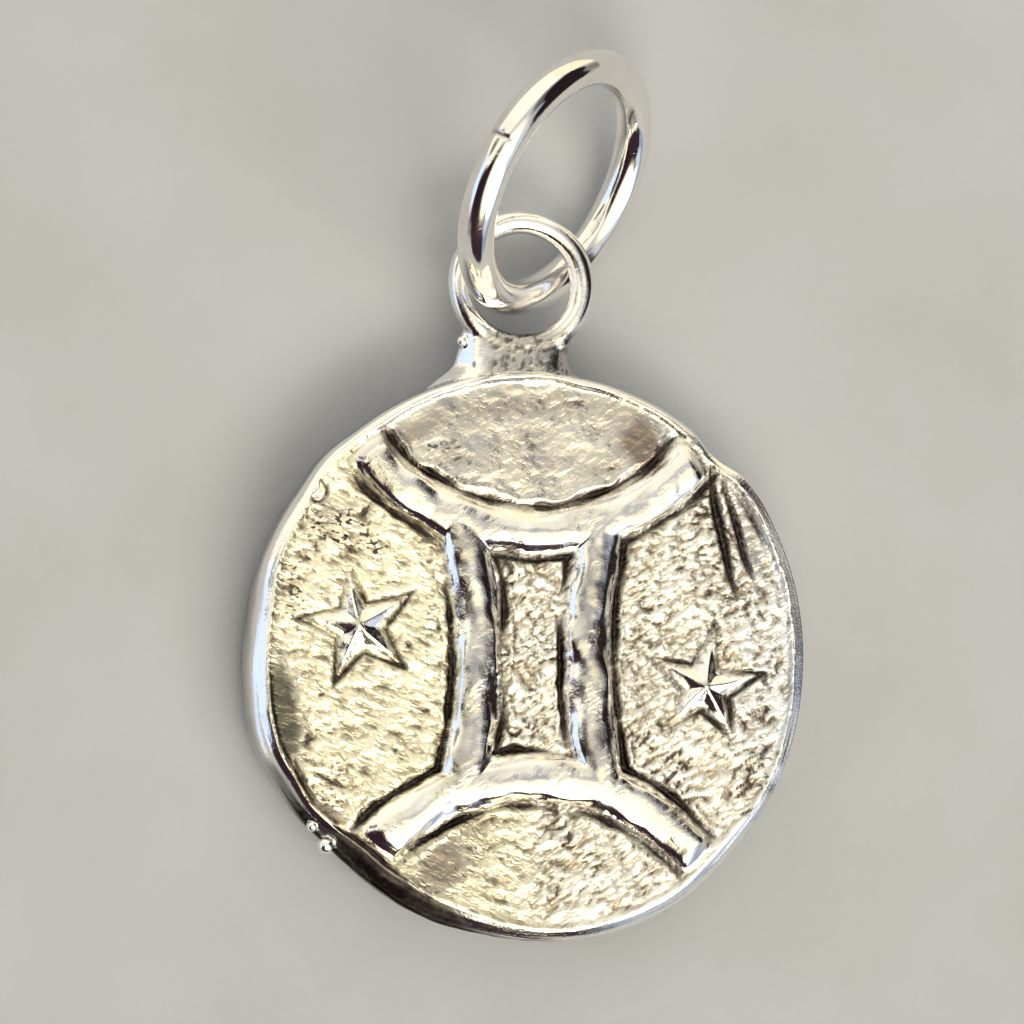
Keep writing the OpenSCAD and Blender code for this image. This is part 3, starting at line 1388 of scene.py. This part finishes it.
    def disc_mesh(self) -> bpy.types.Mesh:
        """Makes the disc: flat back, cast side, rim and relief.

        Returns:
            The disc's closed mesh, without neck and bail.
        """
        skin = Skin()
        angle = np.arange(self.around) * 360.0 / self.around
        edge = self.outline.at(angle) - self.shrink
        self._add_back(skin, angle, edge)
        self._add_side(skin, angle, edge)
        self._add_face(skin, angle, edge)
        skin.close()
        skin.close_start(0, self.back_rings[0][1], (0.0, 0.0, self.back_z))
        return skin.mesh("disc")

    def _add_back(self, skin: Skin, angle: Array, edge: Array) -> None:
        """Adds the flat back's rings, from its middle outwards.

        Args:
            skin: the disc's skin so far.
            angle: directions round the disc, in degrees.
            edge: radius of the dressed outline in them.
        """
        for share, count in self.back_rings:
            part = slice(None, None, self.around // count)
            x, y = across(angle[part], (edge[part] - self.side[0][0]) * share)
            z = self.back_z * (1.0 + Noise(Seed.BACK).at(x / 1.5, y / 1.5))
            skin.add_ring(np.stack([x, y, z], -1))

    def _add_side(self, skin: Skin, angle: Array, edge: Array) -> None:
        """Adds the rings of the cast side and of the bevel up to the rim's crest.

        Args:
            skin: the disc's skin so far.
            angle: directions round the disc, in degrees.
            edge: radius of the dressed outline in them.
        """
        width, crest, slope = self.rim_at(angle)
        knots = np.linspace(0.0, 1.0, len(self.side))
        base_in = self.side[-1][0]
        base_z = crest - slope * (width - base_in)
        for step in np.linspace(0.0, 1.0, self.wall_rings):
            inward = float(curve_through(np.array(step), [(k, p[0]) for k, p in zip(knots, self.side)]))
            share = float(curve_through(np.array(step), [(k, p[1]) for k, p in zip(knots, self.side)]))
            level = np.full_like(angle, 3.0 + 4.0 * share)
            pitted = np.abs(Noise(Seed.SIDE_PITS).layered(angle / 11.0, level, 3))
            rough = self.side_rough * pitted * math.sin(math.pi * min(step + 0.1, 1.0))
            rough = rough * (1.0 - 0.7 * hill(between(0.0, angle) / 60.0))
            x, y = across(angle, edge - max(inward, 0.0) - rough)
            skin.add_ring(np.stack([x, y, max(share, 0.0) * base_z], -1))
        for step in np.linspace(0.0, 1.0, self.shoulder_rings + 1)[1:]:
            bulge = 0.16 * smooth((slope - 0.3) / 0.4) * step * (1.0 - step) * 4.0
            bulge = bulge * (0.55 + 0.45 * Noise(Seed.SHOULDER_SWELL).at(angle / 16.0, angle * 0.0))
            uneven = Noise(Seed.SHOULDER_LINES).layered(angle / 22.0, np.full_like(angle, step * 4.5), 2)
            line = 0.06 * uneven * math.sin(math.pi * step)
            z = base_z + (crest - base_z) * (step + bulge + line)
            x, y = across(angle, edge - (base_in + (width - base_in) * step))
            skin.add_ring(np.stack([x, y, np.minimum(z, self.thickness)], -1))

    def _add_face(self, skin: Skin, angle: Array, edge: Array) -> None:
        """Adds the face's rings, from the rim's crest inwards, with fewer points near the middle.

        Args:
            skin: the disc's skin so far.
            angle: directions round the disc, in degrees.
            edge: radius of the dressed outline in them.
        """
        width, _, _ = self.rim_at(angle)
        for k in range(1, self.face_rings):
            share = 1.0 - k / self.face_rings
            step = 1 if share > 0.5 else 2 if share > 0.25 else 4
            part = slice(None, None, step)
            x, y = across(angle[part], (edge[part] - width[part]) * share)
            skin.add_ring(np.stack([x, y, self.face(x, y)[0]], -1))

    def bail_mesh(self) -> bpy.types.Mesh:
        """Makes the neck, the lumps of solder and the bail ring as overlapping skins, for one remesh.

        Returns:
            The mesh of all of them.
        """
        skin = Skin()
        turns, sides = 120, 28
        phi = np.arange(sides) * math.tau / sides
        mx, my, mz = self.bail_middle
        for k in range(turns):
            t = k * math.tau / turns
            thick = self.bail_wire_r * (1.0 + 0.02 * math.sin(3 * t + 1.0) + 0.012 * math.sin(7 * t))
            r = self.bail_r + thick * np.cos(phi)
            x, y = mx + r * math.cos(t), my + r * math.sin(t)
            skin.points.append(np.stack([x, y, mz + thick * np.sin(phi)], -1))
            a, b = k * sides, (k + 1) % turns * sides
            skin.faces += [(a + i, b + i, b + (i + 1) % sides, a + (i + 1) % sides) for i in range(sides)]
        self._add_neck(skin)
        for lump in (*self.lumps, *self.beads):
            self._add_lump(skin, lump)
        return skin.mesh("bail")

    def _add_neck(self, skin: Skin) -> None:
        """Adds the neck's lumpy skin with its sloped flanks, open inside the bail.

        Args:
            skin: the skins so far.
        """
        skin.ring = []
        rows, sides = 30, 72
        y = np.linspace(self.neck[0][0], self.neck[-1][0], rows)
        columns = (curve_through(y, [(row[0], row[k]) for row in self.neck]) for k in range(1, 6))
        half_w, half_t, z, x, flank = columns
        a = np.arange(sides) * math.tau / sides
        c, s = np.abs(np.cos(a)), np.abs(np.sin(a))
        # Flat flanks above the side edges, a round belly below them
        upper = np.sin(a) > 0.0
        corner = np.where(upper, 9.0, 2.0)
        mx, my, _ = self.bail_middle
        start = len(skin.faces)
        first = skin.size
        for k in range(rows):
            sloped = (c + upper * s * flank[k] / half_t[k]) / half_w[k]
            reach = ((s / half_t[k]) ** corner + sloped**corner) ** (-1.0 / corner)
            px = x[k] + reach * np.cos(a)
            rough = 0.045 * Noise(Seed.SOLDER_LUMPS).layered(px / 0.34, np.full_like(a, y[k] / 0.30), 3)
            rough = rough * (1.0 - smooth((np.abs(px - x[k]) - 0.9) / 0.3))
            pz = z[k] + (reach + rough * s) * np.sin(a)
            # Inside the bail the skin is pulled back to the wire's middle line
            drop = np.sqrt(np.clip(self.bail_r**2 - (px - mx) ** 2, 0.0, None))
            skin.add_ring(np.stack([px, np.minimum(y[k], my - drop), pz], -1))
        skin.close()
        skin.close_start(first, sides, (x[0], y[0], z[0]))
        # These rings run the other way round, so their faces are turned to look outwards
        skin.faces[start:] = [face[::-1] for face in skin.faces[start:]]

    def _add_lump(self, skin: Skin, lump: tuple[float, float, float, float, float, float]) -> None:
        """Adds one rounded lump of solder or one cast bead.

        Args:
            skin: the skins so far.
            lump: x, y, z and the half widths along them.
        """
        x, y, z, rx, ry, rz = lump
        skin.ring = []
        sides, rows = 20, 12
        a = np.arange(sides) * math.tau / sides
        first = skin.size
        for k in range(1, rows):
            b = math.pi * k / rows - math.pi / 2
            wide = math.cos(b)
            px, py = x + rx * wide * np.cos(a), y + ry * wide * np.sin(a)
            skin.add_ring(np.stack([px, py, np.full_like(a, z + rz * math.sin(b))], -1))
        skin.close(np.array([x, y, z + rz]))
        skin.close_start(first, sides, (x, y, z - rz))

    def build(self) -> bpy.types.Object:
        """Fuses the disc, the neck and the bail into one piece.

        Returns:
            The piece, not dressed yet.
        """
        disc = place("cast_silver_charm", self.disc_mesh())
        bail = place("bail_and_neck", self.bail_mesh())
        remesh = bail.modifiers.new("fuse", "REMESH")
        remesh.mode = "VOXEL"
        remesh.voxel_size = self.voxel * MM
        rub = bail.modifiers.new("rub", "SMOOTH")
        rub.factor = 0.5
        rub.iterations = 5
        bake_modifiers(bail)
        join = disc.modifiers.new("solder", "BOOLEAN")
        join.operation = "UNION"
        join.solver = "EXACT"
        join.object = bail
        bake_modifiers(disc)
        bpy.data.objects.remove(bail)
        return disc

    def dress(self, piece: bpy.types.Object, finish: CastSilver) -> None:
        """Gives the piece its finish and its place in the frame.

        Args:
            piece: the fused piece.
            finish: its finish.
        """
        mesh = piece.data
        x, y, z = points_of(mesh).T
        inwards, inside, _ = self.polar(x, y)
        on_face = (inside > -0.01) & (z > self.face_from)
        on_side = (inwards > -0.05) & ~on_face
        _, recess, tanned, polish = self.face(x, y)
        solder, pitted = self._solder(x, y, inside)
        # The side gets painted shade, darkest at its lower left
        recess = np.where(on_face, recess, np.where(on_side, self._painted_side_shade(x, y, z), 0.0))
        recess = np.maximum(recess, solder * (0.48 + 0.38 * pitted))
        polish = np.where(on_face, polish, np.where(on_side, 0.85, 1.0)) * (1.0 - 0.38 * solder)
        for bx, by, bz, half, _, _ in self.beads:
            seated = np.sqrt((x - bx) ** 2 + (y - by) ** 2 + (z - bz) ** 2) < 1.12 * half
            recess, polish = np.where(seated, 0.0, recess), np.where(seated, 1.0, polish)
        zones = self.zones(x, y)
        strokes = zones[Grain.STROKES] + zones[Grain.BLOBS] + 0.6 * zones[Grain.STREAKS]
        marks = {
            "recess": np.clip(recess, 0.0, 1.0),
            "tan": np.where(on_face, tanned, 0.0),
            "pits": np.where(on_face, self.patches(x, y, self.pits, 0.5), 0.0),
            # Patches of stain and painted shade
            "stain_and_shade": np.where(on_face, self.stain_and_shade_at(x, y, inside) * (z < self.stain_and_shade_to), 0.0),
            "brown": smooth((np.abs(y) - 2.6) / 1.0),
            "polish": polish,
            # Where the painted cool reflection lies, at the lower right
            "cool": smooth((x - 5.0) / 1.6) * smooth((y + 3.8) / 2.0),
            "strokes": np.where(on_face, strokes, 1.0),
        }
        for name, values in marks.items():
            write_attribute(mesh, name, values)
        mesh.materials.clear()
        mesh.materials.append(finish.material())
        mesh.shade_smooth()
        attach(piece, "root")
        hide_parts("cast_disc")

    def _painted_side_shade(self, x: Array, y: Array, z: Array) -> Array:
        """Painted shade on the cast side, darkest at its lower left.

        Args:
            x: place across the disc.
            y: place along the disc.
            z: height over the back.

        Returns:
            0 on bright metal and up to 1 in the darkest painted shade.
        """
        angle = np.degrees(np.arctan2(y, x))
        patchy = 0.40 * Noise(Seed.SIDE_SHADE_PATCHES).layered(angle / 16.0, z / 0.9, 2)
        # Painted shade, strongest at the lower left
        low_left_side_shade = smooth(1.35 * hill(between(238.0, angle) / 52.0) + patchy - 0.10)
        low_left_side_shade = low_left_side_shade * smooth((z - 0.35) / 0.9)
        side_shade = 0.42 + 0.30 * smooth(Noise(Seed.SIDE_SHADE_NOISE).layered(angle / 14.0, z / 0.5, 3)) + 0.50 * low_left_side_shade
        side_shade = side_shade * (1.0 - smooth((z - 1.62 - 0.40 * low_left_side_shade) / 0.22))
        return side_shade * (1.0 - 0.8 * hill(between(10.0, angle) / 75.0))

    def _solder(self, x: Array, y: Array, inside: Array) -> tuple[Array, Array]:
        """The dull solder of the neck.

        Args:
            x: place across the disc.
            y: place along the disc.
            inside: distance in from the rim's crest.

        Returns:
            How much of the solder a place has and how pitted it is, each 0 to 1.
        """
        ragged = 0.30 * Noise(Seed.SOLDER_EDGE).layered(x / 0.4, y / 0.4, 2)
        solder = smooth((x + 1.5 + ragged) / 0.5) * smooth((1.5 - x + ragged) / 0.3) * smooth((9.0 - y) / 0.4)
        pitted = smooth((Noise(Seed.SOLDER_PITS).layered(x / 0.20, y / 0.20, 2) - 0.15) / 0.3)
        return solder * (inside < -0.10) * (y > 0.0), pitted


@dataclass
class JumpRing:
    """The loose ring of round wire, with the joint where it was closed."""

    # Radius of the wire's middle line and of the wire, and the lean and turn of the ring's axis
    ring_r: float = 3.35
    wire_r: float = 0.5
    lean: float = 54.0
    turn: float = -35.5
    middle: tuple[float, float] = (0.4, 12.65)
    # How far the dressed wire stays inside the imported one
    shrink: float = 0.003
    # The closed joint: its gap, its place round the ring, and the notch and the dark line along it
    saw_cut: float = 0.004
    cut_turn: float = 190.0
    notch_depth: float = 0.05
    notch_half: float = 1.2
    line_half: float = 1.6
    # Points round the ring and round its wire
    steps: int = 360
    sides: int = 64
    # Flats that file and pliers left: angle from the cut, turn round the wire, depth, half length
    flats: tuple[tuple[float, float, float, float], ...] = (
        (14, -14, 0.010, 10),
        (24, 62, 0.014, 13),
        (46, 14, 0.010, 12),
        (64, 70, 0.014, 13),
        (158, 118, 0.018, 11),
        (176, 168, 0.016, 12),
        (196, 128, 0.018, 12),
    )

    def build(self) -> bpy.types.Object:
        """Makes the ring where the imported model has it.

        Returns:
            The piece, not dressed yet.
        """
        lean = math.radians(self.lean)
        height = self.wire_r + self.ring_r * math.sin(lean)
        middle = Vector((*self.middle, height))
        pose = np.array(Matrix.Rotation(math.radians(self.turn), 3, "Z") @ Matrix.Rotation(lean, 3, "Y"))
        gap = 2 * math.degrees(math.asin(self.saw_cut / 2 / self.ring_r))
        phi = np.arange(self.sides) * math.tau / self.sides
        skin = Skin()
        angles = self.cut_turn + (360.0 - gap) * np.linspace(0.0, 1.0, self.steps)
        for angle in angles:
            thick = self.wire_r - self.shrink - self._worn(angle, phi)
            t = math.radians(angle)
            r = self.ring_r + thick * np.cos(phi)
            local = np.stack([r * math.cos(t), r * math.sin(t), thick * np.sin(phi)], -1)
            skin.add_ring(local @ pose.T + np.array(middle))
        skin.close()
        skin.close_start(0, self.sides, np.mean(skin.points[0], axis=0))
        mesh = skin.mesh("jump_ring_wire")
        last = (self.steps - 1) * self.sides
        for edge in mesh.edges:
            a, b = edge.vertices
            edge.use_edge_sharp = max(a, b) < self.sides or last <= min(a, b) <= max(a, b) < last + self.sides
        ring_of = np.concatenate([np.repeat(angles, self.sides), [angles[-1], angles[0]]])
        side_of = np.concatenate([np.tile(np.degrees(phi), self.steps), [180.0, 180.0]])
        outside = hill(between(0.0, side_of) / 60.0)
        joint = hill(between(self.cut_turn - gap / 2, ring_of) / self.line_half)
        write_attribute(mesh, "recess", joint * outside)
        return place("jump_ring_wire", mesh)

    def _worn(self, angle: float, phi: Array) -> Array:
        """How much the pliers and the saw took off the wire.

        Args:
            angle: place round the ring, in degrees.
            phi: places round the wire, in radians, from the ring's outer side.

        Returns:
            Depth under the round wire at each place.
        """
        worn = np.zeros_like(phi)
        for from_cut, turn, depth, half in self.flats:
            along = float(np.sqrt(hill(between(self.cut_turn + from_cut, np.array(angle)) / half)))
            facing = np.clip(np.cos(phi - math.radians(turn)), 0.1, None)
            worn = np.maximum(worn, self.wire_r - (self.wire_r - depth * along) / facing)
        joint = float(hill(between(self.cut_turn, np.array(angle)) / self.notch_half))
        return worn + self.notch_depth * joint * hill(phi - math.tau * np.round(phi / math.tau))

    def dress(self, piece: bpy.types.Object, finish: WireSilver) -> None:
        """Gives the ring its finish and its place in the frame.

        Args:
            piece: the ring.
            finish: its finish.
        """
        piece.data.materials.append(finish.material())
        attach(piece, "root")
        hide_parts("jump_ring")


# Studio

def direction(azimuth: float, elevation: float) -> Vector:
    """Unit vector of a direction.

    Args:
        azimuth: degrees from +X towards +Y.
        elevation: degrees above the floor.

    Returns:
        The vector, away from the charm.
    """
    a, e = math.radians(azimuth), math.radians(elevation)
    return Vector((math.cos(a) * math.cos(e), math.sin(a) * math.cos(e), math.sin(e)))


def lay_over(tree: bpy.types.NodeTree, under: Socket | Colour, over: Colour, share: Socket) -> Socket:
    """Lays one light of the tent over what is there.

    Args:
        tree: the surroundings' node tree.
        under: the light so far.
        over: the new light.
        share: how much of the new light each direction has.

    Returns:
        The mixed light.
    """
    mix = tree.nodes.new("ShaderNodeMix")
    mix.data_type = "RGBA"
    tree.links.new(share, mix.inputs["Factor"])
    if isinstance(under, tuple):
        mix.inputs[6].default_value = (*under, 1.0)
    else:
        tree.links.new(under, mix.inputs[6])
    mix.inputs[7].default_value = (*over, 1.0)
    return mix.outputs[2]


@dataclass(frozen=True)
class TentPatch:
    """A soft round part of the light tent: a bright panel, a window or a dark card."""

    azimuth: float
    elevation: float
    # Angles from its middle out to which it is full, and to which it fades
    core: float
    reach: float
    light: Colour


@dataclass(frozen=True)
class Lamp:
    """A soft square light, aimed at the charm."""

    name: str
    azimuth: float
    elevation: float
    distance: float
    size: float
    colour: Colour
    # Brightness of its face
    brightness: float

    def build(self, aim: Vector) -> bpy.types.Object:
        """Hangs the light.

        Args:
            aim: the point that it faces, in metres.

        Returns:
            The light.
        """
        lamp = bpy.data.lights.new(self.name, "AREA")
        lamp.shape = "SQUARE"
        lamp.size = self.size * MM
        lamp.color = self.colour
        lamp.energy = self.brightness * math.pi * (self.size * MM) ** 2
        way = direction(self.azimuth, self.elevation)
        item = bpy.data.objects.new(self.name, lamp)
        item.location = aim + way * self.distance * MM
        item.rotation_euler = (-way).to_track_quat("-Z", "Y").to_euler()
        bpy.context.scene.collection.objects.link(item)
        return item


@dataclass
class Studio:
    """Floor, light tent, lamps and camera round the charm."""

    # Place of the camera, and the point that it and the lamps look at
    eye: tuple[float, float, float] = (-23.44, -4.87, 108.19)
    aim: tuple[float, float, float] = (-0.343, 3.933, 1.0)
    lens: float = 141.95
    floor_size: float = 3000.0
    # Light of the bare tent at the floor and overhead
    tent_low: Colour = (0.44, 0.42, 0.39)
    tent_high: Colour = (0.66, 0.66, 0.65)
    tent: tuple[TentPatch, ...] = (
        TentPatch(140, 0, 60, 72, (1.10, 1.04, 0.88)),
        TentPatch(112, 24, 50, 56, (1.15, 1.10, 0.92)),
        TentPatch(62, 6, 22, 27, (1.15, 1.02, 0.72)),
        TentPatch(156, 30, 8, 12, (0.22, 0.21, 0.21)),
        TentPatch(180, 8, 17, 23, (0.84, 1.00, 1.32)),
        TentPatch(-166, 32, 8, 14, (0.14, 0.13, 0.15)),
        TentPatch(-140, 62, 12, 24, (0.10, 0.095, 0.09)),
        TentPatch(4, 44, 6, 12, (0.42, 0.48, 0.60)),
        TentPatch(24, 46, 8, 20, (0.14, 0.12, 0.11)),
        TentPatch(22, 30, 17, 21, (0.016, 0.013, 0.014)),
        TentPatch(-2, 20, 16, 20, (0.020, 0.014, 0.014)),
        TentPatch(20, 3, 8, 12, (0.25, 0.22, 0.17)),
        TentPatch(-98, 6, 36, 40, (0.040, 0.022, 0.030)),
        TentPatch(-135, 36, 28, 31, (0.030, 0.014, 0.022)),
        TentPatch(-46, 3, 15, 19, (0.30, 0.37, 0.50)),
        TentPatch(-44, 32, 22, 26, (0.66, 0.72, 0.82)),
        TentPatch(-70, 60, 20, 38, (1.75, 1.58, 1.15)),
        TentPatch(-84, 47, 13, 14.5, (6.80, 6.20, 4.70)),
        TentPatch(-62, 42, 12, 13.5, (6.50, 6.00, 4.70)),
        TentPatch(-46, 26, 8, 10, (1.90, 1.90, 1.85)),
        TentPatch(-64, 26, 3, 6, (0.20, 0.18, 0.18)),
    )
    lamps: tuple[Lamp, ...] = (
        Lamp("right_lamp", -36.0, 42.0, 300.0, 60.0, (1.0, 0.93, 0.82), 8.0),
        Lamp("key_lamp", -78.0, 46.0, 300.0, 40.0, (1.0, 0.93, 0.80), 8.0),
    )

    def build(self, finish: PaleFloor) -> None:
        """Makes the camera, the lights, the surroundings and the floor.

        Args:
            finish: the floor's finish.
        """
        self._camera()
        for lamp in self.lamps:
            lamp.build(Vector(self.aim) * MM)
        self._tent()
        half = self.floor_size / 2 * MM
        mesh = bpy.data.meshes.new("floor")
        corners = [(-half, -half, 0), (half, -half, 0), (half, half, 0), (-half, half, 0)]
        mesh.from_pydata(corners, [], [(0, 1, 2, 3)])
        mesh.materials.append(finish.material())
        place("floor", mesh)
        bpy.context.scene.view_settings.view_transform = "Standard"

    def _camera(self) -> None:
        """Sets the camera at the photograph's angle."""
        data = bpy.data.cameras.new("camera")
        data.lens, data.sensor_width = self.lens, SENSOR_MM
        data.clip_start, data.clip_end = 0.01, 20.0
        item = bpy.data.objects.new("camera", data)
        eye, aim = Vector(self.eye) * MM, Vector(self.aim) * MM
        back = (eye - aim).normalized()
        right = Vector((0.0, 1.0, 0.0)).cross(back).normalized()
        up = back.cross(right)
        turn = Matrix((right, up, back)).transposed().to_4x4()
        item.matrix_world = Matrix.Translation(eye) @ turn
        bpy.context.scene.collection.objects.link(item)
        bpy.context.scene.camera = item

    def _tent(self) -> None:
        """Fills the surroundings with a soft pale tent and its panels, windows and dark cards."""
        world = bpy.data.worlds.new("light_tent")
        world.use_nodes = True
        tree = world.node_tree
        way = tree.nodes.new("ShaderNodeTexCoord").outputs["Generated"]
        split = tree.nodes.new("ShaderNodeSeparateXYZ")
        tree.links.new(way, split.inputs["Vector"])
        light = lay_over(tree, self.tent_low, self.tent_high, split.outputs["Z"])
        for patch in self.tent:
            dot = tree.nodes.new("ShaderNodeVectorMath")
            dot.operation = "DOT_PRODUCT"
            tree.links.new(way, dot.inputs[0])
            dot.inputs[1].default_value = direction(patch.azimuth, patch.elevation)
            ramp = tree.nodes.new("ShaderNodeMapRange")
            ramp.interpolation_type = "SMOOTHSTEP"
            tree.links.new(dot.outputs["Value"], ramp.inputs["Value"])
            ramp.inputs["From Min"].default_value = math.cos(math.radians(patch.reach))
            ramp.inputs["From Max"].default_value = math.cos(math.radians(patch.core))
            light = lay_over(tree, light, patch.light, ramp.outputs["Result"])
        tree.links.new(light, tree.nodes["Background"].inputs["Color"])
        bpy.context.scene.world = world


# Report and run


def report(piece: bpy.types.Object) -> None:
    """Logs a piece's name and size."""
    piece.data.calc_loop_triangles()
    LOG.info("%s: %d triangles", piece.name, len(piece.data.loop_triangles))


def main() -> None:
    """Builds the studio and the charm's two pieces, and reports each piece."""
    logging.basicConfig(level=logging.INFO, format="%(name)s %(message)s")
    Studio().build(PaleFloor())
    disc = CastDisc()
    charm = disc.build()
    disc.dress(charm, CastSilver())
    report(charm)
    jump_ring = JumpRing()
    ring = jump_ring.build()
    jump_ring.dress(ring, WireSilver())
    report(ring)


if __name__ == "__main__":
    main()
